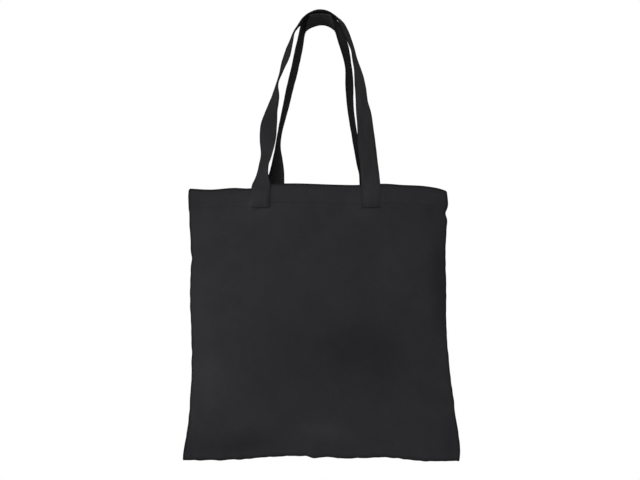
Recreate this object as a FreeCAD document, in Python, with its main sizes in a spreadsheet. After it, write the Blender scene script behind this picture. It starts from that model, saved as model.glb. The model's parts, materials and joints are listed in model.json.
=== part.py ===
"""A canvas tote bag hanging from a peg: two hemmed panels and two sewn-on strap handles.

Frame: X to the right as the bag is seen from the front, -Y to the front, +Z up. The origin is
where the peg bears on the underside of the inner strap. Lengths are in millimetres.
"""

import FreeCAD, Part
import math
import os

import Sketcher

# Each driving size: alias, value, meaning.
SIZES = [
    ("handle_drop", 234.0, "from the top of the peg down to the rim"),
    ("bag_height", 371.0, "from the bottom seam up to the rim"),
    ("base_width", 381.0, "across the bottom seam"),
    ("waist_width", 350.0, "across the side seams at mid height"),
    ("rim_width", 354.0, "across the side seams at the rim"),
    ("mouth_bow", 30.0, "how far each panel bows out at the rim"),
    ("belly_bow", 38.0, "how far each panel bows out at mid height"),
    ("cloth", 0.8, "thickness of one layer of canvas"),
    ("hem_depth", 25.0, "height of the folded hem"),
    ("hem_layers", 3.0, "layers of cloth in the hem"),
    ("seam_allowance", 10.0, "width of the turned-in edges"),
    ("seam_clearance", 0.4, "between the turned-in edges of the two panels"),
    ("strap_width", 25.4, "width of a handle strap"),
    ("strap_thickness", 2.4, "thickness of a handle strap"),
    ("strap_seat", 0.3, "clearance between a sewn strap end and its panel"),
    ("sewn_depth", 27.0, "length of strap sewn below the rim"),
    ("fold_clearance", 0.3, "from the fold line to the strap on each side of it"),
    ("front_spacing", 148.0, "between the front handle's ends, centre to centre"),
    ("back_spacing", 137.0, "between the back handle's ends, centre to centre"),
    ("front_lean", 3.0, "degrees that the front handle's legs lean in at the rim"),
    ("back_lean", 9.0, "degrees that the back handle's legs lean in at the rim"),
    ("peg_radius", 28.0, "inside radius of the inner strap over the peg"),
    ("strap_nesting", 0.4, "least clearance between the straps as the inner one swings out"),
]

# A level of a panel is its height over the bottom seam, then its share of the flare from waist
# to base, of the belly's bow, and of the change from waist to rim.
ALLOWANCE_LEVEL = ("Sizes.seam_allowance", 0.95, 0.08, 0.0)
SEWN_LEVEL = ("(Sizes.bag_height - Sizes.sewn_depth)", 0.0, 1.0, 0.7)
HEM_LEVEL = ("(Sizes.bag_height - Sizes.hem_depth)", 0.0, 1.0, 0.72)
FOLD_LEVEL = ("(Sizes.bag_height - Sizes.fold_clearance)", 0.0, 1.0, 1.0)
RIM_LEVEL = ("Sizes.bag_height", 0.0, 1.0, 1.0)
PANEL_LEVELS = [
    ALLOWANCE_LEVEL,
    ("Sizes.bag_height * 0.10", 0.72, 0.35, 0.0),
    ("Sizes.bag_height * 0.22", 0.36, 0.68, 0.0),
    ("Sizes.bag_height * 0.40", 0.04, 0.94, 0.0),
    ("Sizes.bag_height * 0.65", 0.0, 1.0, 0.15),
    SEWN_LEVEL,
]

# How far a panel's outer face stands from the bag's mid plane along the side seams.
SEAM_FACE = "(Sizes.seam_clearance / 2 + 2 * Sizes.cloth)"

# Where a handle's loft has its sections: shares of a leg's length, and of the crown's arc.
LEG_SHARES = (0.1, 0.22, 0.34, 0.46, 0.58, 0.72, 0.88)
CROWN_SHARES = (0.0, 0.25, 0.5, 0.75, 1.0)
TWIST_ENDS_AT = 0.7

AS_SEEN = 0
TURNED_ROUND = 180

doc = FreeCAD.newDocument("tote_bag")


def make_sheet():
    """Put every driving size in a spreadsheet cell with its alias."""
    sizes = doc.addObject("Spreadsheet::Sheet", "Sizes")
    for row, (alias, value, meaning) in enumerate(SIZES, start=1):
        sizes.set(f"A{row}", meaning)
        sizes.set(f"B{row}", str(value))
        sizes.setAlias(f"B{row}", alias)
    doc.recompute()
    return sizes


def now(expression):
    """The value that an expression has with the sheet as it stands."""
    value = sheet.evalExpression(expression)
    return float(getattr(value, "Value", value))


def make_body(label, turn, drop, forward="0"):
    """An empty body, turned about Z and placed below the peg by its drop."""
    body = doc.addObject("PartDesign::Body", label)
    body.Label = label
    place = f"placement(vector(0; {forward}; -({drop})); rotation(vector(0; 0; 1); {turn}))"
    body.setExpression("Placement", place)
    return body


def sketch_at(body, name, placement):
    """A sketch on the body's own XY plane, moved from there by an expression."""
    plane = next(f for f in body.Origin.OriginFeatures if f.Role == "XY_Plane")
    sketch = body.newObject("Sketcher::SketchObject", name)
    sketch.AttachmentSupport = [(plane, "")]
    sketch.MapMode = "FlatFace"
    sketch.setExpression("AttachmentOffset", placement)
    return sketch


def level_sketch(body, name, height):
    """A horizontal sketch at a height over the bottom seam."""
    return sketch_at(body, name, f"placement(vector(0; 0; {height}); rotation(vector(0; 0; 1); 0))")


def bind(sketch, kind, *places, expression):
    """Add a dimension to a sketch and tie it to the sheet."""
    index = sketch.addConstraint(Sketcher.Constraint(kind, *places, now(expression)))
    sketch.setExpression(f"Constraints[{index}]", expression)


def bind_from_origin(sketch, kind, edge, point, expression):
    """Dimension a point from the sketch's origin, on whichever side of it the point lies."""
    if now(expression) >= 0:
        bind(sketch, kind, -1, 1, edge, point, expression=expression)
    else:
        bind(sketch, kind, edge, point, -1, 1, expression=f"-({expression})")


def join(sketch, edge, point, other, other_point):
    sketch.addConstraint(Sketcher.Constraint("Coincident", edge, point, other, other_point))


def half_width(level):
    _, flare, _, rim = level
    to_base = f"(Sizes.base_width - Sizes.waist_width) * {flare}"
    to_rim = f"(Sizes.rim_width - Sizes.waist_width) * {rim}"
    return f"((Sizes.waist_width + {to_base} + {to_rim}) / 2)"


def bow(level):
    _, _, belly, rim = level
    return f"(Sizes.belly_bow * {belly} + (Sizes.mouth_bow - Sizes.belly_bow) * {rim})"


def bow_radius(level):
    """Radius of the arc through both side seams that bows out by the level's bow."""
    return f"(({half_width(level)}^2 + {bow(level)}^2) / (2 * {bow(level)}))"


def panel_face(level, x):
    """Distance of a panel's outer face from the bag's mid plane, at a distance x from the middle."""
    radius = bow_radius(level)
    return f"({SEAM_FACE} + {bow(level)} - {radius} + sqrt({radius}^2 - ({x})^2))"


def add_strip(sketch, level, inward, left, right):
    """Add an edge along the panel, so far inward of its outer face, from left to right.

    It is an arc at the level's bow, or a straight line where the level is the flat bottom seam.
    """
    x_left, x_right = now(left), now(right)
    if level is None:
        y = now(f"{inward} - {SEAM_FACE}")
        start, end = FreeCAD.Vector(x_left, y), FreeCAD.Vector(x_right, y)
        edge = sketch.addGeometry(Part.LineSegment(start, end))
        sketch.addConstraint(Sketcher.Constraint("Horizontal", edge))
        bind_from_origin(sketch, "DistanceY", edge, 1, f"{inward} - {SEAM_FACE}")
    else:
        radius = bow_radius(level)
        centre_y = f"({radius} - {bow(level)} - {SEAM_FACE} + {inward})"
        centre = FreeCAD.Vector(0, now(centre_y))
        circle = Part.Circle(centre, FreeCAD.Vector(0, 0, 1), now(radius))
        below = 1.5 * math.pi
        start = below + math.asin(x_left / now(radius))
        end = below + math.asin(x_right / now(radius))
        edge = sketch.addGeometry(Part.ArcOfCircle(circle, start, end))
        sketch.addConstraint(Sketcher.Constraint("PointOnObject", edge, 3, -2))
        bind(sketch, "Radius", edge, expression=radius)
        bind_from_origin(sketch, "DistanceY", edge, 3, centre_y)
    bind_from_origin(sketch, "DistanceX", edge, 1, left)
    bind_from_origin(sketch, "DistanceX", edge, 2, right)
    return edge


def add_link(sketch, edge, point, other, other_point):
    """Add a straight edge between the ends of two others."""
    start = sketch.getPoint(edge, point)
    end = sketch.getPoint(other, other_point)
    link = sketch.addGeometry(Part.LineSegment(start, end))
    join(sketch, link, 1, edge, point)
    join(sketch, link, 2, other, other_point)


def panel_section(body, name, height, level, width):
    """A panel's section: one layer of cloth, and a second one along its turned-in side edges."""
    sketch = level_sketch(body, name, height)
    turned_in = f"({width} - Sizes.seam_allowance)"
    outer = add_strip(sketch, level, "0", f"-{width}", width)
    inner = add_strip(sketch, level, "Sizes.cloth", f"-{turned_in}", turned_in)
    left = add_strip(sketch, level, "2 * Sizes.cloth", f"-{width}", f"-{turned_in}")
    right = add_strip(sketch, level, "2 * Sizes.cloth", turned_in, width)
    add_link(sketch, outer, 2, right, 2)
    add_link(sketch, right, 1, inner, 2)
    add_link(sketch, inner, 1, left, 2)
    add_link(sketch, left, 1, outer, 1)
    return sketch


def band_section(body, name, height, level, span, depth):
    """A strip's section between two places across the panel, and two depths into it."""
    sketch = level_sketch(body, name, height)
    near = add_strip(sketch, level, depth[0], *span)
    far = add_strip(sketch, level, depth[1], *span)
    add_link(sketch, near, 2, far, 2)
    add_link(sketch, far, 1, near, 1)
    return sketch


def loft(body, name, sections):
    """Loft a body's sections in order, and end the body there."""
    feature = body.newObject("PartDesign::AdditiveLoft", name)
    feature.Profile = sections[0]
    feature.Sections = sections[1:]
    body.Tip = feature
    return feature


def add_band(body, name, ends, depth):
    """Thicken a panel inward to a depth, between two heights that each have their half width."""
    folded = ("Sizes.cloth / 2", depth)
    sections = []
    for end, (height, level, width) in zip(("low", "top"), ends):
        label = f"{body.Label}_{name}_{end}"
        sections.append(band_section(body, label, height, level, (f"-{width}", width), folded))
    loft(body, f"{body.Label}_{name}", sections)


def make_panel(label, turn):
    """A panel with its hem folded in at the rim and its edges turned in at the seams."""
    body = make_body(label, turn, "Sizes.handle_drop + Sizes.bag_height")
    base = "(Sizes.base_width / 2)"
    sections = [panel_section(body, f"{label}_base", "0", None, base)]
    for number, level in enumerate(PANEL_LEVELS, start=1):
        name = f"{label}_level_{number}"
        sections.append(panel_section(body, name, level[0], level, half_width(level)))
    loft(body, f"{label}_cloth", sections)
    top = [panel_section(body, f"{label}_straight_{number}", level[0], level, half_width(level))
           for number, level in enumerate((SEWN_LEVEL, RIM_LEVEL))]
    loft(body, f"{label}_straight", top)
    allowance = [("0", None, base), (ALLOWANCE_LEVEL[0], ALLOWANCE_LEVEL,
                                     half_width(ALLOWANCE_LEVEL))]
    add_band(body, "bottom_allowance", allowance, "2 * Sizes.cloth")
    inset = "Sizes.seam_allowance / 2"
    hem = [(level[0], level, f"({half_width(level)} - {inset})") for level in (HEM_LEVEL, RIM_LEVEL)]
    add_band(body, "hem", hem, "Sizes.hem_layers * Sizes.cloth")
    return body


def make_sewn_end(label, turn, middle):
    """The end of a strap, sewn flat on the outside of its panel below the rim."""
    body = make_body(label, turn, "Sizes.handle_drop + Sizes.bag_height")
    span = (f"({middle} - Sizes.strap_width / 2)", f"({middle} + Sizes.strap_width / 2)")
    depth = ("-Sizes.strap_seat", "-(Sizes.strap_seat + Sizes.strap_thickness)")
    loft(body, f"{label}_strap", [
        band_section(body, f"{label}_low", SEWN_LEVEL[0], SEWN_LEVEL, span, depth),
        band_section(body, f"{label}_top", FOLD_LEVEL[0], FOLD_LEVEL, span, depth),
    ])
    return body


def make_arch(name, spacing, lean, crown_radius):
    """The middle line of a handle's loop: two leg arcs that run smoothly into a crown arc.

    The rise is measured from the fold line at the rim. The leg's centre follows from the lean at
    its foot and from touching the crown's circle. The swing's rise is how far the crown's far
    edge lifts on its way out from over the peg.
    """
    arch = doc.addObject("App::VarSet", name)
    values = {
        "half_spacing": f"{spacing} / 2",
        "crown_radius": crown_radius,
        "rise": f"Sizes.handle_drop + {crown_radius} - Sizes.peg_radius",
    }
    half, crown, rise = f"{name}.half_spacing", f"{name}.crown_radius", f"{name}.rise"
    centre_rise = f"({rise} - {crown})"
    reach = f"{half} * cos({lean}) - {centre_rise} * sin({lean}) - {crown}"
    values["leg_radius"] = f"({half}^2 + {centre_rise}^2 - {crown}^2) / (2 * ({reach}))"
    leg = f"{name}.leg_radius"
    values["leg_centre_x"] = f"{leg} * cos({lean}) - {half}"
    values["leg_centre_z"] = f"-{leg} * sin({lean})"
    inner_edge = f"{half} - Sizes.strap_width / 2"
    sewn = "Sizes.strap_seat + Sizes.strap_thickness"
    values["hinge_offset"] = f"{panel_face(RIM_LEVEL, inner_edge)} + {sewn} + Sizes.fold_clearance"
    values["seat"] = "Sizes.fold_clearance + Sizes.strap_thickness / 2"
    top = "(Sizes.handle_drop + Sizes.strap_thickness)"
    near = f"({name}.hinge_offset - Sizes.strap_width / 2)"
    far = f"({name}.hinge_offset + Sizes.strap_width / 2)"
    values["swing_rise"] = f"sqrt({top}^2 + {far}^2 - {near}^2) - {top}"
    for prop, expression in values.items():
        arch.addProperty("App::PropertyFloat", prop, "Arch")
        arch.setExpression(prop, expression)
        doc.recompute()
    arch.addProperty("App::PropertyFloat", "leg_end", "Arch")
    slope = f"({centre_rise} - {name}.leg_centre_z) / {name}.leg_centre_x"
    arch.setExpression("leg_end", f"atan({slope}) / 1 deg")
    doc.recompute()
    return arch


def strap_section(body, name, arch, x, z, turn, roll):
    """A section of the strap, square to the arch at (x, z) and rolled about it by roll degrees."""
    y = f"({arch}.seat + ({arch}.hinge_offset - {arch}.seat) * ({z}) / {arch}.rise)"
    turned = f"rotation(vector(0; 1; 0); {turn}) * rotation(vector(0; 0; 1); {roll:.3f})"
    sketch = sketch_at(body, name, f"placement(vector({x}; {y}; {z}); {turned})")
    wide, thick = now("Sizes.strap_width") / 2, now("Sizes.strap_thickness") / 2
    corners = [FreeCAD.Vector(x, y) for x, y in
               ((-wide, -thick), (wide, -thick), (wide, thick), (-wide, thick))]
    for start, end in zip(corners, corners[1:] + corners[:1]):
        sketch.addGeometry(Part.LineSegment(start, end))
    for edge in range(4):
        join(sketch, edge, 2, (edge + 1) % 4, 1)
        kind = "Vertical" if edge % 2 else "Horizontal"
        sketch.addConstraint(Sketcher.Constraint(kind, edge))
    sketch.addConstraint(Sketcher.Constraint("Symmetric", 0, 1, 1, 2, -1, 1))
    bind(sketch, "DistanceX", 0, 1, 0, 2, expression="Sizes.strap_width")
    bind(sketch, "DistanceY", 1, 1, 1, 2, expression="Sizes.strap_thickness")
    return sketch


def make_loop(label, turn, arch, lean):
    """A handle's loop: its strap turns a quarter on each leg, to lie flat over the peg."""
    forward = f"-{arch}.hinge_offset" if turn == AS_SEEN else f"{arch}.hinge_offset"
    body = make_body(label, turn, "Sizes.handle_drop", forward)
    places = [(f"-{arch}.half_spacing", "Sizes.fold_clearance", "0", 0.0)]
    for share in LEG_SHARES:
        angle = f"({lean} + ({arch}.leg_end - {lean}) * {share})"
        x = f"{arch}.leg_centre_x - {arch}.leg_radius * cos({angle})"
        z = f"{arch}.leg_centre_z + {arch}.leg_radius * sin({angle})"
        twist = (1 - math.cos(math.pi * min(1.0, share / TWIST_ENDS_AT))) / 2
        places.append((x, z, angle, -90 * twist))
    up_one_leg = list(places)
    for share in CROWN_SHARES:
        angle = f"({arch}.leg_end + (180 - 2 * {arch}.leg_end) * {share})"
        x = f"-{arch}.crown_radius * cos({angle})"
        z = f"{arch}.rise - {arch}.crown_radius * (1 - sin({angle}))"
        places.append((x, z, angle, -90.0))
    for x, z, angle, roll in reversed(up_one_leg):
        places.append((f"-({x})", z, f"(180 - {angle})", roll))
    sections = [strap_section(body, f"{label}_section_{number}", arch, *place)
                for number, place in enumerate(places, start=1)]
    loft(body, f"{label}_strap", sections)
    return body


def make_handle(name, turn, spacing, lean, crown_radius):
    """One strap: a loop that swings, and two ends that stay sewn to the panel."""
    arch = f"{name.capitalize()}Arch"
    make_arch(arch, spacing, lean, crown_radius)
    left, right = (1, -1) if turn == TURNED_ROUND else (-1, 1)
    return [
        make_loop(f"{name}_handle", turn, arch, lean),
        make_sewn_end(f"{name}_handle_left_end", turn, f"({left} * {spacing} / 2)"),
        make_sewn_end(f"{name}_handle_right_end", turn, f"({right} * {spacing} / 2)"),
    ]


def check_document():
    """Stop if any object of the document failed to build."""
    for item in doc.Objects:
        failed = {"Invalid", "Error"} & set(item.State)
        if failed:
            raise RuntimeError(f"{item.Label} is {failed}")


def export(bodies):
    """Write each sub-part to its own file, once all of them are known to be sound."""
    for body in bodies:
        if body.Shape.isNull() or not body.Shape.isValid() or len(body.Shape.Solids) != 1:
            raise RuntimeError(f"{body.Label} is not one valid solid")
    os.makedirs("parts", exist_ok=True)
    for body in bodies:
        body.Shape.exportStep(f"parts/{body.Label}.step")


sheet = make_sheet()
INNER_CROWN = "(Sizes.peg_radius + Sizes.strap_thickness / 2)"
NESTING = "Sizes.strap_thickness + BackArch.swing_rise + Sizes.strap_nesting"
bodies = [make_panel("front_panel", AS_SEEN), make_panel("back_panel", TURNED_ROUND)]
bodies += make_handle("back", TURNED_ROUND, "Sizes.back_spacing", "Sizes.back_lean", INNER_CROWN)
bodies += make_handle("front", AS_SEEN, "Sizes.front_spacing", "Sizes.front_lean",
                      f"({INNER_CROWN} + {NESTING})")
doc.recompute()
check_document()
export(bodies)
for body in bodies:
    box = body.Shape.BoundBox
    print(f"{body.Label:24s} volume {body.Shape.Volume / 1000:8.3f} cm3  "
          f"x {box.XMin:8.2f} {box.XMax:8.2f}  y {box.YMin:7.2f} {box.YMax:7.2f}  "
          f"z {box.ZMin:8.2f} {box.ZMax:8.2f}")
for arch in ("FrontArch", "BackArch"):
    print(f"{arch} hinge offset {now(arch + '.hinge_offset'):.3f}")
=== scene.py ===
"""A plain black canvas tote bag that hangs by both handles.

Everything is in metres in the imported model's frame: X to the right as the bag is seen from the
front, -Y to the front, +Z up, and the origin where a peg would bear on the inner handle.
"""

import json
import logging
import math
from bisect import bisect_right
from dataclasses import dataclass, field
from enum import Enum
from typing import Callable, Iterable, Sequence

import bmesh
import bpy
from bmesh.types import BMesh
from bpy.types import Material, Node, NodeSocket, Object, World
from mathutils import Matrix, Vector, noise


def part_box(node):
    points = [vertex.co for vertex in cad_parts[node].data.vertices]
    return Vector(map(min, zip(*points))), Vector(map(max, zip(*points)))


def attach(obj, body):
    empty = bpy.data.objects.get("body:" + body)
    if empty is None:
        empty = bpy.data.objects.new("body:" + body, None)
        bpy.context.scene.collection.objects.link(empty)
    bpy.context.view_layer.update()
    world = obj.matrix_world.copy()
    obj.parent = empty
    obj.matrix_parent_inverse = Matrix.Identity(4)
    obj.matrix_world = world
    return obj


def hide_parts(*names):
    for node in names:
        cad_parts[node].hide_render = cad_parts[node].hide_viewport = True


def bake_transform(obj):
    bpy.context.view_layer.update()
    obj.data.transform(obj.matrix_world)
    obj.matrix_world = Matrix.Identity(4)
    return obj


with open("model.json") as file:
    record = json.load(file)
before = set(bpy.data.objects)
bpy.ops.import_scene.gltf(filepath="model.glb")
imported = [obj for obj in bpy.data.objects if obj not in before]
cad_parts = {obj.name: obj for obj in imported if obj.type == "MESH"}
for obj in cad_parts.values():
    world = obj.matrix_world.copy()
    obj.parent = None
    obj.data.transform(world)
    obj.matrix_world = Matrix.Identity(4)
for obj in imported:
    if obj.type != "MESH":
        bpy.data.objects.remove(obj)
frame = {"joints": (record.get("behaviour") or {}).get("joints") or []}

log = logging.getLogger("tote_bag")

MM = 0.001
Knots = Sequence[tuple[float, float]]
Colour = tuple[float, float, float, float]
BLACK: Colour = (0.0, 0.0, 0.0, 1.0)
WHITE: Colour = (1.0, 1.0, 1.0, 1.0)


# --- Curves and meshes ---


def smooth(value: float, low: float, high: float) -> float:
    """Rise smoothly from 0 where the value is low to 1 where it is high."""
    share = min(1.0, max(0.0, (value - low) / (high - low)))
    return share * share * (3.0 - 2.0 * share)


def hump(value: float, centre: float, width: float) -> float:
    """A soft bell of height 1 at its centre, which has faded at about twice its width."""
    return math.exp(-((value - centre) / width) ** 2)


def through(knots: Knots, at: float) -> float:
    """Follow a smooth line through a few knots.

    Args:
        knots: pairs of place and value, in rising order of place.
        at: the place to read.

    Returns:
        The line's value there, held level beyond the ends.
    """
    places = [place for place, _ in knots]
    values = [value for _, value in knots]
    if at <= places[0]:
        return values[0]
    if at >= places[-1]:
        return values[-1]
    last = bisect_right(places, at) - 1

    def slope(knot: int) -> float:
        """The line's slope at a knot."""
        before, after = max(0, knot - 1), min(len(places) - 1, knot + 1)
        return (values[after] - values[before]) / (places[after] - places[before])

    span = places[last + 1] - places[last]
    share = (at - places[last]) / span
    square, cube = share * share, share ** 3
    return ((2 * cube - 3 * square + 1) * values[last]
            + (cube - 2 * square + share) * span * slope(last)
            + (3 * square - 2 * cube) * values[last + 1]
            + (cube - square) * span * slope(last + 1))


def graded(zones: Iterable[tuple[float, float, int]]) -> list[float]:
    """Space stations evenly inside each of several zones that follow one another.

    Args:
        zones: start, end and number of steps of each zone.

    Returns:
        The stations, from the first zone's start to the last zone's end.
    """
    stations: list[float] = []
    for start, end, steps in zones:
        if not stations:
            stations.append(start)
        stations += [start + (end - start) * step / steps for step in range(1, steps + 1)]
    return stations


def ripple(x: float, y: float, size: float, seed: float) -> float:
    """Smooth random relief from about -1 to 1 whose features are about a size across."""
    return noise.noise(Vector((x / size + seed, y / size - seed, seed * 1.7)))


@dataclass(frozen=True)
class Spot:
    """One point of a cloth surface: its place, its flat coordinates, its wear, and its tone and painted
    light.

    The tone and painted light is how much lighter or darker its colour is made there, as a share of its
    colour, by random tone and by painted light and shade.
    """

    place: Vector
    flat: tuple[float, float]
    wear: float
    dye: float


@dataclass(frozen=True)
class Patch:
    """A soft-edged area of cloth: its middle and half sizes in millimetres, and its amount."""

    x: float
    up: float
    wide: float
    tall: float
    amount: float

    def at(self, x: float, up: float) -> float:
        """How much of its amount is left at a place given in metres."""
        return (self.amount * hump(x, self.x * MM, self.wide * MM)
                * hump(up, self.up * MM, self.tall * MM))


def cloth_grid(columns: Sequence[float], rows: Sequence[float],
               spot: Callable[[float, float], Spot]) -> BMesh:
    """Bend a flat grid to a cloth surface.

    Args:
        columns: the grid's stations across.
        rows: the grid's stations up.
        spot: gives the surface's point at a column and row station.

    Returns:
        A bmesh with a UV map of flat coordinates in metres, and attributes of wear and of tone and
        painted light.
    """
    mesh = bmesh.new()
    across, up = len(columns) - 1, len(rows) - 1
    bmesh.ops.create_grid(mesh, x_segments=across, y_segments=up, size=0.5)
    flat = mesh.loops.layers.uv.new("cloth")
    wear = mesh.verts.layers.float.new("wear")
    dye = mesh.verts.layers.float.new("dye")
    spots = {}
    for vert in mesh.verts:
        column = round((vert.co.x + 0.5) * across)
        row = round((vert.co.y + 0.5) * up)
        here = spot(columns[column], rows[row])
        spots[vert] = here
        vert.co = here.place
        vert[wear] = here.wear
        vert[dye] = here.dye
    for face in mesh.faces:
        face.smooth = True
        for loop in face.loops:
            loop[flat].uv = spots[loop.vert].flat
    return mesh


def finished(mesh: BMesh, name: str, material: Material) -> Object:
    """Turn a bmesh into a named object at the origin.

    Args:
        mesh: the shape, which is freed.
        name: the object's name.
        material: its finish.

    Returns:
        The new object, linked to the scene.
    """
    data = bpy.data.meshes.new(name)
    mesh.to_mesh(data)
    mesh.free()
    data.materials.append(material)
    piece = bpy.data.objects.new(name, data)
    bpy.context.scene.collection.objects.link(piece)
    return piece


# --- Shader nodes ---


class Graph:
    """The node tree of one material or of the world."""

    def __init__(self, owner: Material | World) -> None:
        """Open the nodes that a new material or world starts with.

        Args:
            owner: the material or world.
        """
        owner.use_nodes = True
        self.owner = owner
        self.tree = owner.node_tree
        self.surface = self.tree.nodes.get("Principled BSDF") or self.tree.nodes["Background"]

    def node(self, kind: str, settings: dict | None = None,
             inputs: dict | None = None) -> Node:
        """Add a node.

        Args:
            kind: the node's type, without the ShaderNode prefix.
            settings: properties, which are set first.
            inputs: values or links of its sockets, by name or number.

        Returns:
            The node.
        """
        node = self.tree.nodes.new("ShaderNode" + kind)
        for key, value in (settings or {}).items():
            setattr(node, key, value)
        self.dress(inputs or {}, node)
        return node

    def dress(self, inputs: dict, node: Node | None = None) -> None:
        """Feed the sockets of a node, or else of the surface, by name or number."""
        for key, value in inputs.items():
            self.feed((node or self.surface).inputs[key], value)

    def feed(self, socket: NodeSocket, value: object) -> None:
        """Link or set an input.

        Args:
            socket: the input.
            value: a wrapped value or another socket to link, or a constant.
        """
        if isinstance(value, Value):
            self.tree.links.new(value.socket, socket)
        elif isinstance(value, NodeSocket):
            self.tree.links.new(value, socket)
        else:
            socket.default_value = value

    def value(self, kind: str, settings: dict | None = None, inputs: dict | None = None,
              output: int | str = 0) -> "Value":
        """Add a node and wrap one of its outputs."""
        return Value(self, self.node(kind, settings, inputs).outputs[output])

    def flat(self) -> tuple["Value", "Value"]:
        """Read the cloth's own flat coordinates.

        Returns:
            Metres across and along.
        """
        uv = self.node("UVMap", {"uv_map": "cloth"})
        split = self.node("SeparateXYZ", inputs={0: uv.outputs[0]})
        return Value(self, split.outputs[0]), Value(self, split.outputs[1])

    def vector(self, x: "Value", y: "Value") -> NodeSocket:
        """Join two numbers into a vector."""
        return self.node("CombineXYZ", inputs={0: x, 1: y}).outputs[0]

    def grain(self, vector: NodeSocket, scale: float, detail: float = 2.0,
              roughness: float = 0.5) -> "Value":
        """Soft random values from 0 to 1."""
        return self.value("TexNoise", inputs={"Vector": vector, "Scale": scale, "Detail": detail,
                                              "Roughness": roughness})

    def mix(self, share: "Value | float", first: object, second: object) -> NodeSocket:
        """Mix two colours, each a colour or a socket."""
        return self.node("Mix", {"data_type": "RGBA"}, {0: share, 6: first, 7: second}).outputs[2]

    def seen(self) -> "Value":
        """Tell the rays that show a surface straight, mirrored or through glass.

        Returns:
            1 on them and 0 on others.
        """
        path = self.node("LightPath")
        return Value(self, path.outputs["Is Camera Ray"]).at_least(
            Value(self, path.outputs["Is Glossy Ray"])).at_least(
            Value(self, path.outputs["Is Transmission Ray"]))

    def bump(self, height: "Value", depth: float, strength: float) -> None:
        """Drive the surface's normal by a height from 0 to 1 over a depth in metres."""
        node = self.node("Bump", inputs={"Strength": strength, "Distance": depth, "Height": height})
        self.dress({"Normal": node.outputs[0]})


class Value:
    """A number that changes over a surface, for writing shader maths as expressions."""

    def __init__(self, graph: Graph, socket: NodeSocket) -> None:
        """Wrap a socket of a graph."""
        self.graph = graph
        self.socket = socket

    def _maths(self, operation: str, *values: object) -> "Value":
        """Work on values and numbers with one Math node."""
        return self.graph.value("Math", {"operation": operation}, dict(enumerate(values)))

    def __add__(self, other: object) -> "Value":
        """self + other"""
        return self._maths("ADD", self, other)

    __radd__ = __add__

    def __mul__(self, other: object) -> "Value":
        """self * other"""
        return self._maths("MULTIPLY", self, other)

    __rmul__ = __mul__

    def __sub__(self, other: object) -> "Value":
        """self - other"""
        return self._maths("SUBTRACT", self, other)

    def __rsub__(self, other: object) -> "Value":
        """other - self"""
        return self._maths("SUBTRACT", other, self)

    def __truediv__(self, other: object) -> "Value":
        """self / other"""
        return self._maths("DIVIDE", self, other)

    def sine(self) -> "Value":
        """The sine of an angle in radians."""
        return self._maths("SINE", self)

    def size(self) -> "Value":
        """The value without its sign."""
        return self._maths("ABSOLUTE", self)

    def whole(self) -> "Value":
        """The whole number at or below the value."""
        return self._maths("FLOOR", self)

    def remainder(self, step: float) -> "Value":
        """What is left after whole steps."""
        return self._maths("FLOORED_MODULO", self, step)

    def at_least(self, other: object) -> "Value":
        """The larger of two values."""
        return self._maths("MAXIMUM", self, other)

    def rising(self, low: float, high: float) -> "Value":
        """A smooth step from 0 at low to 1 at high."""
        return self.graph.value("MapRange", {"interpolation_type": "SMOOTHSTEP"},
                                {0: self, 1: low, 2: high})


# --- Finishes ---


@dataclass(frozen=True)
class CanvasFinish:
    """Dyed plain-weave cotton canvas: the weave, uneven yarns, lint and paler worn folds.

    The scales are in features per metre, and headroom is how far tone and painted light may lighten the
    colour.
    """

    name: str
    colour: Colour
    worn: Colour
    yarn: float = 0.75 * MM
    yarn_depth: float = 0.22 * MM
    headroom: float = 1.6
    drift_scale: float = 60.0
    slub_thin: float = 900.0
    slub_long: float = 70.0
    cloud_scale: float = 26.0
    lint_scale: float = 1500.0

    def make(self) -> Material:
        """Build the material's nodes.

        Returns:
            The material.
        """
        graph = Graph(bpy.data.materials.new(self.name))
        across, along = graph.flat()
        sheet = graph.vector(across, along)
        drift = graph.grain(sheet, self.drift_scale, 1.0) * (0.5 * self.yarn)
        warp, weft = (across + drift) / self.yarn, (along + drift) / self.yarn
        warp_arch = (warp * math.pi).sine().size()
        weft_arch = (weft * math.pi).sine().size()
        odd = (warp.whole() + weft.whole()).remainder(2.0)
        over = weft_arch * (0.45 + 0.55 * warp_arch)
        under = warp_arch * (0.45 + 0.55 * weft_arch)
        weave = odd * over + (1.0 - odd) * under

        thin, long = self.slub_thin, self.slub_long
        warp_yarn = graph.grain(graph.vector(across * thin, along * long), 1.0, 1.0)
        weft_yarn = graph.grain(graph.vector(across * long, along * thin), 1.0, 1.0)
        slub = (warp_yarn + weft_yarn).rising(0.7, 1.4)
        cloud = graph.grain(sheet, self.cloud_scale, 3.0, 0.55).rising(0.3, 0.72)
        lint = graph.grain(sheet, self.lint_scale).rising(0.68, 0.8)
        wear, dye = (graph.value("Attribute", {"attribute_name": name}, output="Fac")
                     for name in ("wear", "dye"))

        # The last factor brings in the random tone and the painted light and shade that panels and straps
        # give each point.
        tone = (0.72 + 0.28 * weave) * (0.94 + 0.12 * slub) * (0.95 + 0.1 * cloud) * (1.0 + dye)
        fade = (wear * (0.35 + 0.65 * weave) + lint * 0.12).at_least(0.0)
        full = (*(part * self.headroom for part in self.colour[:3]), 1.0)
        plain = graph.mix(tone / self.headroom, BLACK, full)
        graph.dress({"Base Color": graph.mix(fade, plain, self.worn),
                     "Roughness": 0.96 - 0.1 * weave, "Specular IOR Level": 0.0,
                     "Sheen Weight": 0.01, "Sheen Roughness": 0.6})
        graph.bump(weave * (0.8 + 0.4 * slub), self.yarn_depth, 0.75)
        return graph.owner


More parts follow.
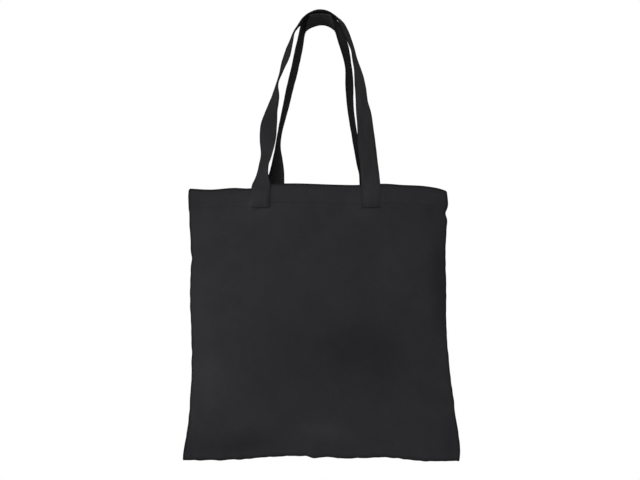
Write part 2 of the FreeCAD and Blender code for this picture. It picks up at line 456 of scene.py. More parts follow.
@dataclass(frozen=True)
class ThreadFinish:
    """Black sewing thread with a slight twist and fuzz."""

    name: str
    colour: Colour
    twist_pitch: float = 0.5 * MM
    twist_depth: float = 0.06 * MM
    fuzz_scale: float = 2500.0

    def make(self) -> Material:
        """Build the material's nodes.

        Returns:
            The material.
        """
        graph = Graph(bpy.data.materials.new(self.name))
        place = graph.node("TexCoord").outputs["Object"]
        split = graph.node("SeparateXYZ", inputs={0: place})
        lay = Value(graph, split.outputs[0]) + Value(graph, split.outputs[2]) * 0.7
        twist = (lay * (2.0 * math.pi / self.twist_pitch)).sine() * 0.5 + 0.5
        fuzz = graph.grain(place, self.fuzz_scale)
        tone = (0.75 + 0.35 * twist) * (0.85 + 0.3 * fuzz)
        graph.dress({"Base Color": graph.mix(tone, BLACK, self.colour),
                     "Roughness": 0.75 - 0.15 * twist, "Specular IOR Level": 0.0})
        graph.bump(twist, self.twist_depth, 0.6)
        return graph.owner


CANVAS = CanvasFinish("black_canvas", (0.0246, 0.0241, 0.0266, 1.0), (0.048, 0.0465, 0.051, 1.0))
STRAPPING = CanvasFinish("black_strapping", (0.0241, 0.0237, 0.0256, 1.0),
                         (0.044, 0.043, 0.046, 1.0), yarn=0.7 * MM)
THREAD = ThreadFinish("black_thread", (0.015, 0.0147, 0.016, 1.0))


# --- Stitching ---


@dataclass
class Stitching:
    """Rows of lockstitch that lie along lines on a surface.

    A stitch's half width, half height and lift are shares of its thread, its half length one of
    its length.
    """

    length: float = 2.5 * MM
    gap: float = 0.7 * MM
    thread: float = 0.36 * MM
    half_width: float = 0.6
    half_height: float = 0.5
    half_length: float = 0.52
    lift: float = 0.1
    places: list[Matrix] = field(default_factory=list)

    def row(self, line: Callable[[float], tuple[Vector, Vector]], span: float) -> None:
        """Sew one row.

        Args:
            line: gives a point and the outward normal at a distance along the row.
            span: the row's length.
        """
        pitch = self.length + self.gap
        for count in range(int(span / pitch)):
            start, _ = line(count * pitch)
            end, _ = line(count * pitch + self.length)
            middle, out = line(count * pitch + self.length / 2)
            along = (end - start).normalized()
            side = out.cross(along).normalized()
            turn = Matrix((side, along.cross(side), along)).transposed().to_4x4()
            size = Matrix.Diagonal((self.thread * self.half_width, self.thread * self.half_height,
                                    self.length * self.half_length, 1.0))
            here = Matrix.Translation(middle + out * self.thread * self.lift)
            self.places.append(here @ turn @ size)

    def finish(self, name: str, material: Material) -> Object:
        """Make the sewn rows one piece.

        Args:
            name: the piece's name.
            material: the thread's finish.

        Returns:
            The piece.
        """
        ball, mesh = bmesh.new(), bmesh.new()
        bmesh.ops.create_uvsphere(ball, u_segments=6, v_segments=4, radius=1.0)
        ball.verts.index_update()
        for place in self.places:
            verts = [mesh.verts.new(place @ vert.co) for vert in ball.verts]
            for face in ball.faces:
                mesh.faces.new([verts[vert.index] for vert in face.verts]).smooth = True
        ball.free()
        piece = finished(mesh, name, material)
        return piece


# --- The two sides of the bag ---


class Side(Enum):
    """Which side of the bag a piece is on; the value is the sign of its Y."""

    FRONT = -1
    BACK = 1


@dataclass(frozen=True)
class Hold:
    """Where a strap passes: its middle, and its turn from lying over the peg to facing outward."""

    x: float
    depth: float
    z: float
    turn: float

    def place(self, side: Side) -> Vector:
        """The point in metres, with depth measured outward from the bag's mid plane."""
        return Vector((self.x * MM, side.value * self.depth * MM, self.z * MM))


@dataclass(frozen=True)
class Half:
    """What one side of the bag has of its own: the way its strap hangs, its dents, and the patches that
    paint light and shade on its panel and its strap.
    """

    side: Side
    holds: Sequence[Hold]
    dents: Sequence[Patch]
    shades: Sequence[Patch]
    strap_shades: Sequence[Patch]
    crease_height: float
    # How strongly the peg's rub and the painted shade beyond the creases show on the strap.
    rubbed_and_shaded: float

    def called(self, piece: str) -> str:
        """The full name of one of the side's pieces or bodies."""
        return f"{self.side.name.lower()}_{piece}"


# --- The panels ---


@dataclass
class Panel:
    """One panel of the bag: a sheet with its hem turned in and its edges turned in at the seams.

    The seams' and lines' knots are in millimetres by share of the height or of the half width,
    the bow's in shares of the belly.
    """

    half: Half
    rim: float
    base: float
    belly: float = 38.0 * MM
    cloth: float = 0.8 * MM
    hem: float = 25.0 * MM
    allowance: float = 10.0 * MM
    flat_width: float = 381.0 * MM
    flat_height: float = 381.0 * MM
    weave_shift: float = 213.7 * MM
    seam_stand: float = 2.0 * MM
    hem_stand: float = 3.4 * MM
    turned_in: float = 0.42 * MM
    hem_fold: float = 1.0 * MM
    hem_row: float = 1.5 * MM
    rim_row: float = 5.0 * MM
    row_share: float = 0.975
    bend: float = 3.0 * MM
    border: float = 12.0 * MM
    low_border: float = 14.0 * MM
    hem_border: float = 4.0 * MM
    crown: float = 2.3
    left: Knots = ((0.0, -184.2), (0.02, -183.8), (0.065, -181.2), (0.11, -178.6), (0.155, -176.0),
                   (0.24, -173.9), (0.37, -172.0), (0.5, -173.0), (0.6, -174.4), (0.745, -173.0),
                   (0.85, -174.6), (0.95, -176.0), (1.0, -175.0))
    right: Knots = ((0.0, 194.4), (0.04, 195.4), (0.11, 192.6), (0.18, 188.4), (0.24, 185.9),
                    (0.31, 182.0), (0.4, 178.8), (0.5, 176.5), (0.64, 176.1), (0.77, 175.4),
                    (0.89, 177.2), (0.925, 176.0), (0.96, 178.2), (1.0, 176.0))
    bow: Knots = ((0.0, 0.0), (0.03, 0.07), (0.10, 0.35), (0.22, 0.68), (0.40, 0.93), (0.58, 1.0),
                  (0.76, 0.94), (0.90, 0.84), (1.0, 0.79))
    rim_line: Knots = ((-1.0, -0.4), (-0.82, -3.0), (-0.64, -1.8), (-0.5, -2.8), (-0.42, 1.4),
                       (-0.2, 2.9), (0.15, 1.1), (0.3, 1.0), (0.5, 3.2), (0.64, 2.2), (0.8, 1.9),
                       (0.93, -0.4), (1.0, -3.2))
    base_line: Knots = ((-1.0, -1.0), (-0.7, -0.6), (-0.5, 1.6), (-0.3, 4.6), (-0.12, 4.9),
                        (-0.06, 2.4), (0.04, 3.4), (0.16, 1.4), (0.3, 2.4), (0.5, 2.6),
                        (0.75, -2.2), (1.0, -2.2))

    @property
    def height(self) -> float:
        """From the bottom seam to the rim."""
        return self.rim - self.base

    @property
    def shift(self) -> float:
        """How far its flat coordinates are moved, so that the two panels' weaves differ."""
        return (self.half.side.value + 1) * self.weave_shift

    def seams(self, up: float) -> tuple[float, float]:
        """Where the side seams run, with the small notches of their pulled stitches.

        Args:
            up: height over the bottom seam.

        Returns:
            The left and the right seam's place across the bag.
        """
        share = up / self.height
        places = []
        for knots, sign, dented in ((self.left, -1.0, 0.745), (self.right, 1.0, 0.922)):
            notch = 0.8 * ripple(up, sign, 13.0 * MM, 3.1) * smooth(share, 0.0, 0.1)
            dent = 1.3 * hump(share, dented, 0.014)
            places.append((through(knots, share) + sign * (notch - dent)) * MM)
        return tuple(places)

    def relief(self, x: float, up: float) -> float:
        """How far the cloth stands out or in from its smooth bow, in metres.

        Args:
            x: across the bag.
            up: height over the bottom seam.

        Returns:
            The relief, outward positive.
        """
        share, under_rim = up / self.height, self.height - up
        left, right = self.seams(up)
        near_left, near_right = x - left, right - x
        near_side = min(near_left, near_right)
        seed = 5.0 if self.half.side is Side.FRONT else 31.0
        drape = (1.5 * ripple(x, up * 0.55, 95.0 * MM, seed)
                 + 0.4 * ripple(x, up, 46.0 * MM, seed + 9))
        crumple = 0.22 * ripple(x, up, 17.0 * MM, seed + 2)
        pulled = 1.0 + (2.2 * hump(share, 0.745, 0.035) if near_left < near_right
                        else 1.6 * hump(share, 0.94, 0.06))
        side_pucker = (pulled * ripple(near_side * 0.35, up, 8.0 * MM, seed + 4)
                       * math.exp(-max(0.0, near_side) / (13.0 * MM)))
        low_pucker = (1.3 * ripple(x, up * 0.3, 10.0 * MM, seed + 6)
                      * math.exp(-up / (12.0 * MM)))
        dented = sum(dent.at(x, up) for dent in self.half.dents)
        ridge = ((0.22 + 0.2 * ripple(up, x, 60.0 * MM, seed + 7))
                 * hump(near_side, self.allowance, 3.0 * MM))
        gather = 1.1 * hump(up, 9.0 * MM, 4.0 * MM)
        hem_line = -0.45 * hump(under_rim, self.hem - self.hem_row, 1.3 * MM)
        top_line = -0.25 * hump(under_rim, self.rim_row, 1.1 * MM)
        hem_wave = (0.5 * ripple(x, up * 0.4, 15.0 * MM, seed + 8)
                    * hump(under_rim, self.hem, 9.0 * MM))
        inside = smooth(near_side, 0.0, 12.0 * MM) * smooth(up, 0.0, 12.0 * MM)
        pinned = 1.0 - 0.75 * smooth(share, 0.86, 0.97)
        return ((drape * pinned + crumple) * inside + side_pucker + low_pucker + dented
                + ridge + gather + hem_line + top_line + hem_wave) * MM

    def dye(self, x: float, up: float) -> float:
        """The painted light and shade on the cloth: its patches, and painted shade along its seams, its
        rim and its bottom seam.

        Args:
            x: across the bag.
            up: height over the bottom seam.

        Returns:
            The share that its colour is lighter by.
        """
        left, right = self.seams(up)
        near = min(x - left, right - x, up * 0.6, self.height - up)
        return (sum(shade.at(x, up) for shade in self.half.shades)
                # Painted shade along the seams, the rim and the bottom seam.
                - 0.45 * hump(max(0.0, near), 0.0, 1.9 * MM))

    @staticmethod
    def drift(at: float, seam: float) -> float:
        """How far back a numbered seam, which both panels share, wanders off the mid plane."""
        return 0.45 * MM * ripple(at, 3.0 * seam, 28.0 * MM, 17.0 + seam)

    def folded(self, here: Vector, over: float, drift: float) -> tuple[float, float]:
        """Turn a point beyond an edge round a half circle and back inside.

        Args:
            here: the point of the edge; its Y is changed to the turned one.
            over: how far beyond the edge the point lies on the flat sheet.
            drift: where the seam runs off the mid plane.

        Returns:
            How far the point lies beyond the edge now, and how far round the fold it is.
        """
        side = self.half.side.value
        inner = self.turned_in + side * drift
        radius = (abs(here.y) - inner) / 2
        angle = min(math.pi, over / radius)
        here.y = side * (inner + radius * (1 + math.cos(angle)))
        return radius * math.sin(angle) - max(0.0, over - math.pi * radius), angle

    def face(self, x: float, up: float) -> float:
        """How far the sheet's middle stands from the bag's mid plane.

        Args:
            x: across the bag.
            up: height over the bottom seam.

        Returns:
            The distance.
        """
        left, right = self.seams(up)
        share = min(1.0, abs((x - (left + right) / 2) / ((right - left) / 2)))
        profile = 1.0 - share ** self.crown
        hem_zone = smooth(up, self.height - self.hem - 8.0 * MM, self.height - self.hem)
        stand = self.seam_stand + (self.hem_stand - self.seam_stand) * hem_zone
        fade = smooth(1.0 - share, 0.0, 0.02)
        return (stand + self.belly * through(self.bow, up / self.height) * profile
                + self.relief(x, up) * fade)

    def levels(self, share: float) -> tuple[float, float]:
        """Heights of the bottom seam and of the rim at a share of the width from -1 to 1."""
        return (self.base + through(self.base_line, share) * MM,
                self.rim + through(self.rim_line, share) * MM)

    def place(self, share: float, up: float, inward: float = 0.0) -> Vector:
        """A point of the panel.

        Args:
            share: across the panel, from -1 at the left seam to 1 at the right one.
            up: height over the bottom seam, before the rim and the seam sag.
            inward: offset into the bag.

        Returns:
            The point.
        """
        left, right = self.seams(up)
        x = (left + right) / 2 + share * (right - left) / 2
        low, high = self.levels(share)
        z = low + (high - low) * up / self.height
        return Vector((x, self.half.side.value * (self.face(x, up) - inward), z))

    def outside(self, x: float, z: float) -> float:
        """How far the outer face of the cloth stands from the mid plane, in metres.

        Args:
            x: across the bag.
            z: height in the shared frame.

        Returns:
            The distance, which past the rim is that of the rim.
        """
        level = max(0.0, min(self.height, z - self.base))
        left, right = self.seams(level)
        share = max(-1.0, min(1.0, (2 * x - left - right) / (right - left)))
        low, high = self.levels(share)
        up = max(0.0, min(self.height, (z - low) / (high - low) * self.height))
        return self.face(x, up) + self.cloth / 2

    def spot(self, across: float, up: float) -> Spot:
        """Map the flat sheet, turned-in edges included, to where it hangs.

        Args:
            across: from -1 to 1 between the seams, and beyond them on the allowances.
            up: from 0 to the height between seam and rim, and beyond them on the folds.

        Returns:
            The point, its flat coordinates, its wear, and its tone and painted light.
        """
        wide = self.flat_width / 2
        share = max(-1.0, min(1.0, across))
        level = max(0.0, min(self.height, up))
        over_side = (abs(across) - 1.0) * wide
        flat = (across * wide + self.shift, up)
        here = self.place(share, level)
        wear = 0.0
        if over_side > 0.0:
            beyond, angle = self.folded(here, over_side, self.drift(level, share))
            here.x += share * beyond
            wear = 0.08 * math.sin(angle)
        elif up < 0.0:
            beyond, angle = self.folded(here, -up, self.drift(here.x, 2.0))
            here.z -= beyond
            wear = 0.08 * math.sin(angle)
        elif up > self.height:
            over = up - self.height
            angle = min(math.pi, over / self.hem_fold)
            run = max(0.0, over - math.pi * self.hem_fold)
            here = self.place(share, self.height - run, self.hem_fold * (1 - math.cos(angle)))
            here.z += self.hem_fold * math.sin(angle)
            wear = 0.1 * math.sin(angle)
        return Spot(here, flat, wear, self.dye(here.x, level))

    def make(self, material: Material) -> Object:
        """Build the panel, dress it and tie it to the frame.

        Args:
            material: the canvas.

        Returns:
            The piece.
        """
        wide = self.flat_width / 2
        bend, edge, turned = self.bend / wide, self.border / wide, self.allowance / wide
        columns = graded([(-1 - turned - bend, -1 - bend, 3), (-1 - bend, -1, 6),
                          (-1, -1 + edge, 8), (-1 + edge, 1 - edge, 128), (1 - edge, 1, 8),
                          (1, 1 + bend, 6), (1 + bend, 1 + turned + bend, 3)])
        low, high = self.low_border, self.height - self.hem - self.hem_border
        inside = self.height + math.pi * self.hem_fold
        rows = graded([(-self.allowance - self.bend, -self.bend, 3), (-self.bend, 0.0, 6),
                       (0.0, low, 8), (low, high, 100), (high, self.height, 22),
                       (self.height, inside, 6), (inside, self.height + self.hem, 8)])
        mesh = cloth_grid(columns, rows, self.spot)
        flat = mesh.loops.layers.uv["cloth"]
        clipped = []
        for face in mesh.faces:
            corners = [loop[flat].uv for loop in face.loops]
            across = sum(abs(uv.x - self.shift) for uv in corners) / len(corners)
            up = sum(uv.y for uv in corners) / len(corners)
            if across > wide * 0.9999 and (up > self.height - 0.5 * MM or up < 0.0):
                clipped.append(face)
        bmesh.ops.delete(mesh, geom=clipped, context="FACES")
        if self.half.side is Side.BACK:
            bmesh.ops.reverse_faces(mesh, faces=mesh.faces)
        piece = finished(mesh, self.half.called("cloth"), material)
        shell = piece.modifiers.new("thickness", "SOLIDIFY")
        shell.thickness = self.cloth
        shell.offset = 0.0
        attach(piece, "bag")
        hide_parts(self.half.called("panel"))
        return piece

    def sew(self, material: Material) -> Object:
        """Sew the two rows round the hem, outside and inside.

        Args:
            material: the thread.

        Returns:
            The stitches.
        """
        stitches = Stitching()
        edge = self.row_share
        span = self.place(edge, self.height).x - self.place(-edge, self.height).x
        deep = self.hem - self.hem_row

        def on(at: float, drop: float, inward: float) -> tuple[Vector, Vector]:
            """The point and the normal of a row at a distance from its left end."""
            here = self.place(-edge + 2 * edge * at / span, self.height - drop, inward)
            return here, Vector((0.0, math.copysign(1.0, -self.half.side.value * inward), 0.0))

        for drop, inward in ((deep, -self.cloth / 2), (self.rim_row, -self.cloth / 2),
                             (deep, 2 * self.hem_fold + self.cloth / 2)):
            stitches.row(lambda at, d=drop, i=inward: on(at, d, i), span)
        piece = stitches.finish(self.half.called("hem_stitches"), material)
        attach(piece, "bag")
        return piece


# --- The handles ---


@dataclass
class Strap:
    """One handle: a folded and edge-stitched strap, sewn to its panel at both ends."""

    half: Half
    panel: Panel
    hinge: Vector
    width: float = 25.4 * MM
    thickness: float = 2.4 * MM
    seat: float = 0.12 * MM
    sewn: float = 27.0 * MM
    stitch_inset: float = 2.8 * MM
    row_end: float = 2.0 * MM
    box_end: float = 2.5 * MM
    box_short: float = 5.5 * MM
    fold_below: float = 1.0 * MM
    fold_above: float = 24.0 * MM
    step: float = 2.0 * MM
    ring_steps: int = 18
    face_shift: float = 50.0 * MM
    crease_at: float = 18.0 * MM
    crease_slant: float = 7.0 * MM
    crease_width: float = 7.0 * MM
    waver: float = 0.6 * MM
    # Painted shade on the strap's inner face, as a share of its colour.
    inner_face_shade: float = -0.16

    def route(self) -> list[tuple[Vector, float]]:
        """The strap's middle line and turn, sampled finely from its holds.

        Returns:
            Pairs of point and turn in radians, a step apart.
        """
        holds, side, far = self.half.holds, self.half.side, [0.0]
        for one, other in zip(holds, holds[1:]):
            far.append(far[-1] + (other.place(side) - one.place(side)).length)
        tracks = [[(at, getattr(hold, key)) for at, hold in zip(far, holds)]
                  for key in ("x", "depth", "z", "turn")]
        count = int(far[-1] / self.step)
        points = []
        for number in range(count + 1):
            at = far[-1] * number / count
            x, depth, z, turn = (through(track, at) for track in tracks)
            points.append((Hold(x, depth, z, turn).place(side), math.radians(turn)))
        return points

    @property
    def length(self) -> float:
        """How long the strap is, from one sewn end to the other."""
        points = [here for here, _ in self.route()]
        return sum((after - before).length for before, after in zip(points, points[1:]))

    def frames(self) -> list[tuple[Vector, Vector, Vector]]:
        """Turn the route into directions.

        Returns:
            Point, width direction and outer normal at each step.
        """
        points = self.route()
        result = []
        for number, (here, turn) in enumerate(points):
            before = points[max(0, number - 1)][0]
            after = points[min(len(points) - 1, number + 1)][0]
            along = (after - before).normalized()
            level = Vector((0.0, 1.0, 0.0))
            level = (level - along * level.dot(along)).normalized()
            out = along.cross(level).normalized()
            normal = out * math.cos(turn) + level * (self.half.side.value * math.sin(turn))
            result.append((here, normal.cross(along).normalized(), normal))
        return result

    def past_crease(self, at: float, middle: float, share: float) -> float:
        """How far a point is beyond the two creases by the middle, which part towards the back."""
        return abs(at - middle) - self.crease_at - share * self.crease_slant

    def crease(self, past: float) -> float:
        """How far the strap stands out where it breaks over the peg, in metres."""
        return self.half.crease_height * math.exp(-math.sqrt((past / self.crease_width) ** 2 + 0.04))

    def rub_and_shade(self, past: float) -> float:
        """How much lighter the peg rubs the strap, most on the creases, less the painted shade that
        darkens it beyond them.

        Args:
            past: how far beyond a crease.

        Returns:
            The share that its colour is lighter by.
        """
        between = 1.0 - smooth(past, -1.5 * MM, 1.5 * MM)
        # Painted shade beyond the creases.
        beyond = smooth(past, 1.0 * MM, 4.0 * MM) * (1.0 - smooth(past, 8.0 * MM, 26.0 * MM))
        return self.half.rubbed_and_shaded * (0.35 * between + 0.7 * hump(past, 0.0, 1.6 * MM) - 0.5 * beyond)

    def half_thickness(self, across: float) -> float:
        """Half the strap's thickness, less the grooves of its stitches.

        Args:
            across: the distance from its middle line.

        Returns:
            The half thickness.
        """
        edge = self.width / 2
        inside = max(0.0, 1.0 - (abs(across) / edge) ** 9) ** 0.5
        groove = 0.2 * hump(abs(across), edge - self.stitch_inset, 0.7 * MM)
        return self.thickness / 2 * inside * (1.0 - groove)

    def seated(self, place: Vector, lift: float) -> Vector:
        """Lay a point of a sewn end on the panel, and leave one above the rim where it is.

        Args:
            place: the point.
            lift: how far it stands out from the strap's middle layer.

        Returns:
            The point, moved in or out.
        """
        rim = self.panel.rim
        free = smooth(place.z, rim - 3.0 * MM, rim + 11.0 * MM)
        if free >= 1.0:
            return place
        out = self.panel.outside(place.x, place.z) + self.seat + self.thickness / 2 + lift
        return Vector((place.x, self.half.side.value * out * (1 - free) + place.y * free, place.z))

    def make(self, material: Material) -> Object:
        """Build the strap as a closed band and dress it.

        Args:
            material: the strap's canvas.

        Returns:
            The piece.
        """
        frames = self.frames()
        top = max(range(len(frames)), key=lambda number: frames[number][0].z) * self.step
        ways = [math.cos(math.pi * step / self.ring_steps) for step in range(self.ring_steps + 1)]
        ring = [(way, 1.0) for way in ways] + [(-way, -1.0) for way in ways[1:]]
        last = len(frames) - 1
        seed = 11.0 if self.half.side is Side.FRONT else 47.0

        def spot(column: float, row: float) -> Spot:
            """Map a point of the flat band to where the strap hangs.

            Args:
                column: the point's number round the band.
                row: its number along the band.

            Returns:
                The point, its flat coordinates, and its tone and painted light.
            """
            share, face = ring[round(column)]
            here, wide, normal = frames[round(row)]
            across, at = share * self.width / 2, row * self.step
            near_end = min(row, last - row)
            soft = 0.22 * MM * ripple(at, across, 9.0 * MM, seed)
            edge_wave = 0.35 * MM * ripple(at, share, 24.0 * MM, seed + 3)
            past = self.past_crease(at, top, math.copysign(share, share * wide.y))
            lift = (face * self.half_thickness(across) + soft * abs(face) + self.crease(past)
                    + self.waver * ripple(at, seed, 30.0 * MM, seed)
                    * smooth(near_end * self.step, 30.0 * MM, 60.0 * MM))
            lift *= 1.0 if near_end > 0 else 0.8
            place = here + wide * (across + edge_wave * share ** 3) + normal * lift
            streak = 0.16 * ripple(across, at * 0.12, 4.0 * MM, seed + 5)
            # Random streaks of tone, painted shade along the edges and on the inner face, the rub with
            # its painted shade, and the patches of painted light and shade.
            dye = (streak - 0.25 * smooth(abs(share), 0.86, 1.0) + self.rub_and_shade(past)
                   + self.inner_face_shade * smooth(-face, 0.0, 1.0)
                   + sum(shade.at(across, at) for shade in self.half.strap_shades))
            flat = (across + (face + 1) * self.face_shift, at)
            return Spot(self.seated(place, lift), flat, 0.0, dye)

        mesh = cloth_grid(list(range(len(ring))), list(range(last + 1)), spot)
        bmesh.ops.remove_doubles(mesh, verts=mesh.verts, dist=0.01 * MM)
        rims = [edge for edge in mesh.edges if edge.is_boundary]
        caps = bmesh.ops.holes_fill(mesh, edges=rims, sides=0)["faces"]
        bmesh.ops.triangulate(mesh, faces=caps)
        bmesh.ops.recalc_face_normals(mesh, faces=mesh.faces)
        piece = finished(mesh, self.half.called("strap"), material)
        return piece

    def sew(self, material: Material) -> Object:
        """Sew a row along each edge of both faces, and a box on each sewn end.

        Args:
            material: the thread.

        Returns:
            The stitches.
        """
        frames = self.frames()
        inset = self.width / 2 - self.stitch_inset
        stitches = Stitching()

        def on(at: float, across: float, face: float) -> tuple[Vector, Vector]:
            """Find a place on the strap.

            Args:
                at: how far along it.
                across: how far from its middle line.
                face: 1 for the outer face, -1 for the inner one.

            Returns:
                The point and the face's normal.
            """
            place = min(len(frames) - 1.001, max(0.0, at / self.step))
            low = int(place)
            share = place - low
            here, wide, normal = (a.lerp(b, share) for a, b in zip(frames[low], frames[low + 1]))
            lift = face * self.half_thickness(across)
            return self.seated(here + wide * across + normal * lift, lift), normal * face

        length = (len(frames) - 1) * self.step
        for face in (1.0, -1.0):
            for across in (inset, -inset):
                stitches.row(lambda at, a=across, f=face: on(at + self.row_end, a, f),
                             length - 2 * self.row_end)
        for start, sense in ((self.box_end, 1.0), (length - self.box_end, -1.0)):
            for level in (0.0, self.sewn - self.box_short):
                stitches.row(lambda at, s=start, n=sense, v=level: on(s + n * v, at - inset, 1.0),
                             2 * inset)
        return stitches.finish(self.half.called("strap_stitches"), material)

    def hang(self, piece: Object) -> None:
        """Bake a piece's placement into its mesh.

        Args:
            piece: the strap or its stitches.
        """
        start = self.hinge - Vector((0.0, 0.0, self.fold_below))
        end = self.hinge + Vector((0.0, 0.0, self.fold_above))
        self.half.called("handle")
        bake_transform(piece)


# --- Studio ---


@dataclass(frozen=True)
class Lamp:
    """One soft rectangular lamp, aimed at the bag."""

    name: str
    place: tuple[float, float, float]
    power: float
    size: float
    aim: tuple[float, float, float] = (0.0, 0.0, -0.4)

    def make(self) -> None:
        """Light the lamp."""
        light = bpy.data.lights.new(self.name, "AREA")
        light.energy = self.power
        light.size = self.size
        lamp = bpy.data.objects.new(self.name, light)
        lamp.location = self.place
        lamp.rotation_euler = (Vector(self.aim) - lamp.location).to_track_quat("-Z", "Y").to_euler()
        bpy.context.scene.collection.objects.link(lamp)


LAMPS = (
    Lamp("front_lamp", (0.02, -2.2, 0.4), 47.0, 0.9),
    Lamp("left_lamp", (-1.5, -0.5, -0.5), 12.0, 0.5),
    Lamp("right_lamp", (2.0, 0.3, 0.3), 13.0, 0.5),
    Lamp("back_lamp", (0.4, 2.3, 0.35), 34.0, 0.9),
)


@dataclass
class Studio:
    """A white studio: a level camera, soft lamps, world and floor."""

    distance: float = 0.585
    eye: float = -0.3037
    sight: float = 0.0035
    view_width: float = 0.8832
    sensor: float = 36.0
    near: float = 0.01
    floor: float = -1.25
    floor_size: float = 12.0
    floor_colour: Colour = (0.8, 0.8, 0.8, 1.0)
    floor_roughness: float = 0.9
    ambient: float = 0.08

    def make(self) -> None:
        """Set up everything round the bag."""
        scene = bpy.context.scene
        scene.view_settings.view_transform = "Standard"
        camera = bpy.data.cameras.new("camera")
        camera.sensor_width = self.sensor
        camera.lens = self.sensor * self.distance / self.view_width
        camera.clip_start = self.near
        stand = bpy.data.objects.new("camera", camera)
        stand.location = (self.sight, -self.distance, self.eye)
        stand.rotation_euler = (math.pi / 2, 0.0, 0.0)
        scene.collection.objects.link(stand)
        scene.camera = stand
        for lamp in LAMPS:
            lamp.make()
        self.make_world()
        self.make_floor()

    def make_world(self) -> None:
        """White where it is seen, and a plain soft light elsewhere."""
        world = bpy.data.worlds.new("studio_white")
        bpy.context.scene.world = world
        graph = Graph(world)
        strength = graph.value("MapRange", inputs={0: graph.seen(), 3: self.ambient, 4: 1.0})
        graph.dress({"Strength": strength, "Color": WHITE})

    def make_floor(self) -> None:
        """A wide pale floor far below the bag."""
        mesh = bmesh.new()
        bmesh.ops.create_grid(mesh, x_segments=1, y_segments=1, size=self.floor_size)
        bmesh.ops.translate(mesh, verts=mesh.verts, vec=(0.0, 0.0, self.floor))
        graph = Graph(bpy.data.materials.new("white_floor"))
        graph.dress({"Base Color": self.floor_colour, "Roughness": self.floor_roughness})
        glow = graph.node("Emission", inputs={"Color": WHITE, "Strength": 1.0})
        blend = graph.node("MixShader", inputs={0: graph.seen(), 1: graph.surface.outputs[0],
                                                2: glow.outputs[0]})
        graph.feed(graph.tree.nodes["Material Output"].inputs["Surface"], blend.outputs[0])
        finished(mesh, "studio_floor", graph.owner)


# --- The whole bag ---


def holds(*rows: tuple[float, float, float, float]) -> tuple[Hold, ...]:
    """Where a strap passes, each row an x, a depth and a z in millimetres and a turn in degrees."""
    return tuple(Hold(*row) for row in rows)


def patches(*rows: tuple[float, float, float, float, float]) -> tuple[Patch, ...]:
    """Soft areas, each row a place across and up, the half sizes in millimetres and an amount."""
    return tuple(Patch(*row) for row in rows)


FRONT = Half(
    side=Side.FRONT,
    holds=holds(
        (-74.6, 31.5, -261, 90), (-74.4, 30.9, -248, 90), (-73.9, 30.4, -238, 87),
        (-73.3, 29.6, -230, 70), (-72.5, 28.6, -219, 47), (-70.5, 27.2, -206, 38),
        (-66.9, 25.2, -190, 44), (-65.7, 22.6, -170, 64), (-64.9, 20.2, -151, 67),
        (-62.2, 17.8, -133, 48), (-58, 15.4, -115, 36), (-55.4, 12.8, -96, 15), (-49, 10.2, -77, 18),
        (-43.2, 7.4, -57, 29), (-38.4, 4.8, -38, 24), (-34.2, 2.6, -23, 15), (-28.6, 1.2, -12, 17),
        (-20, 0.4, -1.4, 10), (-9.6, 0, 4.4, 2), (3.9, 0, 7.4, 0), (18.2, 0.4, 5.7, 9), (29, 2.4, 0, 24),
        (36.9, 5.8, -14.5, 28.5), (41.8, 7.2, -26.6, 26), (46.4, 7.7, -39.5, 23), (49.2, 8, -48.4, 20),
        (51.2, 8.4, -57.4, 23), (55.6, 10.4, -77, 33), (58.1, 12.8, -96, 42), (59.7, 15.6, -116, 46),
        (62.4, 18.2, -135, 60), (64.3, 21, -157, 65), (65.7, 24, -180, 77), (67.9, 27.2, -204, 76),
        (69.3, 29.2, -221, 84), (70.1, 30.2, -236, 90), (70.1, 30.8, -248, 90), (70.1, 31.5, -261, 90),
    ),
    dents=patches(
        (-80, 17, 34, 8, -2.6), (66, 13, 20, 5, -1.4), (-34, 20, 12, 7, 0.9), (127, 30, 5, 3, 0.7),
    ),
    # Painted light and shade on the front panel, with a painted highlight and a painted shadow by each
    # sewn end of the strap.
    shades=patches(
        (168, 270, 14, 34, -0.25), (169, 214, 13, 34, -0.27), (172, 330, 12, 36, -0.13),
        (152, 341, 7, 9, -0.15), (-158, 205, 24, 60, 0.1), (-146, 112, 28, 32, 0.17),
        (66, 158, 52, 38, -0.2), (34, 168, 24, 16, -0.06), (-14, 150, 60, 55, -0.11),
        (-74, 345, 38, 26, 0.12), (58, 350, 20, 22, 0.1), (8, 42, 28, 14, 0.2), (-108, 22, 60, 20, -0.2),
        (-168, 352, 12, 14, -0.12), (182, 26, 14, 22, -0.15), (-179, 16, 15, 20, -0.14),
        (70, 110, 40, 26, -0.06), (-56, 118, 36, 52, -0.05), (125, 75, 34, 20, 0.06),
        (104, 262, 26, 50, 0.07), (-88.5, 351, 2.5, 7, 0.3), (-77, 342.6, 9, 1.6, -0.35),
        (85, 352, 2.4, 8, 0.2), (72, 342.6, 10, 1.6, -0.25),
    ),
    # Painted light and shade on the front strap: lighter and darker bands, a painted highlight on its
    # left sewn end, and painted light and shade on the pleats by its feet.
    strap_shades=patches(
        (11.4, 8, 2.4, 7, 0.4), (-10.6, 9, 2.2, 6, -0.2), (0, 12, 30, 14, 0.1), (0, 46, 30, 14, 0.08),
        (0, 80, 30, 10, 0.06), (0, 114, 30, 20, -0.16), (0, 160, 30, 15, 0.14), (0, 290, 30, 28, 0.55),
        (0, 318, 30, 30, -0.22), (0, 412, 30, 36, 0.1), (0, 566, 30, 16, 0.14), (6, 49, 1.1, 9, 0.4),
        (3.8, 50, 1, 8, -0.45), (1.3, 50, 1.2, 10, 0.45), (-2.2, 49, 1, 8, -0.4), (-4.4, 51, 1.1, 8, 0.4),
        (-7, 56, 1, 9, -0.45), (-9.6, 546, 1.1, 9, 0.45), (-7.4, 545, 1, 8, -0.5), (-5.4, 546, 1, 9, 0.4),
        (-3.4, 545, 1, 8, -0.45),
    ),
    crease_height=0.4 * MM,
    rubbed_and_shaded=0.0,
)
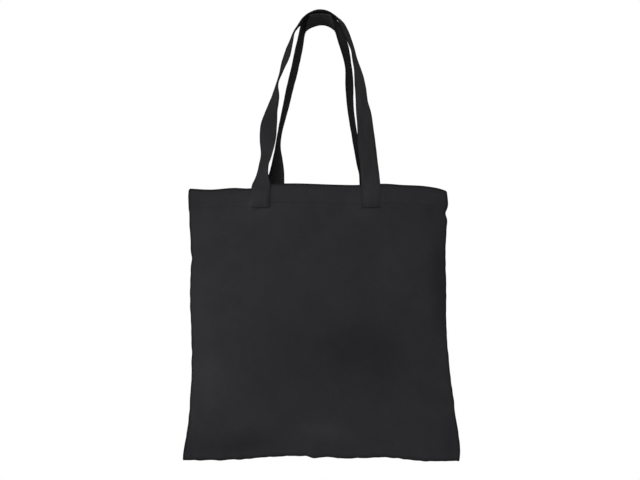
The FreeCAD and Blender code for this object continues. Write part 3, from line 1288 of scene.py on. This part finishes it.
BACK = Half(
    side=Side.BACK,
    holds=holds(
        (-61.6, 31.5, -261, 90), (-61.6, 30.8, -248, 90), (-61.6, 30.2, -236, 90),
        (-60.6, 29.2, -221, 72), (-58.4, 27.6, -205, 48), (-57.4, 25.4, -189, 29),
        (-56.7, 23.2, -172, 11), (-54.2, 20.6, -152, 4), (-49, 17.8, -130, 7), (-43, 14.4, -107, 11),
        (-36.8, 11, -83, 13), (-30.8, 7.8, -59, 14), (-25.6, 4.8, -38, 14), (-22.4, 2.6, -24, 11),
        (-19.8, 1.2, -14, 10), (-14.2, 0.4, -6.6, 9), (-6.6, 0, -2.2, 9), (4, 0, 0, 6),
        (13.8, 0, -1.4, 6), (21.4, 0.5, -5.3, 7), (26.6, 1.5, -10.9, 8), (30.9, 2.6, -19.4, 12),
        (37.5, 5, -36.2, 16), (42.6, 7.8, -58, 13), (44.2, 11, -82, 20), (46, 14.2, -106, 16),
        (48.5, 17.6, -130, 12), (52, 20.4, -150, 10), (56.2, 23, -170, 12), (62, 25.4, -190, 22),
        (68.4, 27.6, -206, 38), (72.6, 29.2, -221, 66), (74.4, 30.2, -236, 90), (74.4, 30.8, -248, 90),
        (74.4, 31.5, -261, 90),
    ),
    dents=patches(
        (40, 18, 40, 9, -2.2), (-96, 14, 22, 6, -1.2), (104, 22, 14, 7, 0.8),
    ),
    shades=patches(
        (-120, 260, 50, 60, 0.08), (90, 150, 60, 45, -0.1), (130, 300, 40, 50, 0.08),
        (-60, 60, 60, 22, -0.1),
    ),
    # Painted light just past the back strap's top and painted shade lower down on it.
    strap_shades=patches(
        (0, 370, 30, 36, -0.28), (0, 314, 30, 14, 0.3),
    ),
    crease_height=1.7 * MM,
    rubbed_and_shaded=1.0,
)


def hinge_of(name: str) -> Vector:
    """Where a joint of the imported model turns, in metres."""
    joint = next(joint for joint in frame["joints"] if joint["name"] == name)
    return Vector(joint["pos_m"])


def main() -> None:
    """Build the bag, piece by piece, and the studio round it."""
    logging.basicConfig(level=logging.INFO, format="%(name)s: %(message)s")
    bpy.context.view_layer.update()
    canvas, strapping, thread = CANVAS.make(), STRAPPING.make(), THREAD.make()
    low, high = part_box("front_panel")
    for half in (FRONT, BACK):
        panel = Panel(half, rim=high[2], base=low[2])
        cloth, hem_stitches = panel.make(canvas), panel.sew(thread)
        body = half.called("handle")
        strap = Strap(half, panel, hinge_of(f"{body}_fold"))
        band, seams = strap.make(strapping), strap.sew(thread)
        for piece in (band, seams):
            strap.hang(piece)
        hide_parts(body, f"{body}_left_end", f"{body}_right_end")
        panel.flat_width + 2 * panel.allowance
        panel.flat_height + panel.hem + panel.allowance
        strap.length
        log.info("%s panel and handle: %d and %d faces, strap %.0f mm long", half.side.name.lower(),
                 len(cloth.data.polygons), len(band.data.polygons), strap.length / MM)
    Studio().make()


if __name__ == "__main__":
    main()
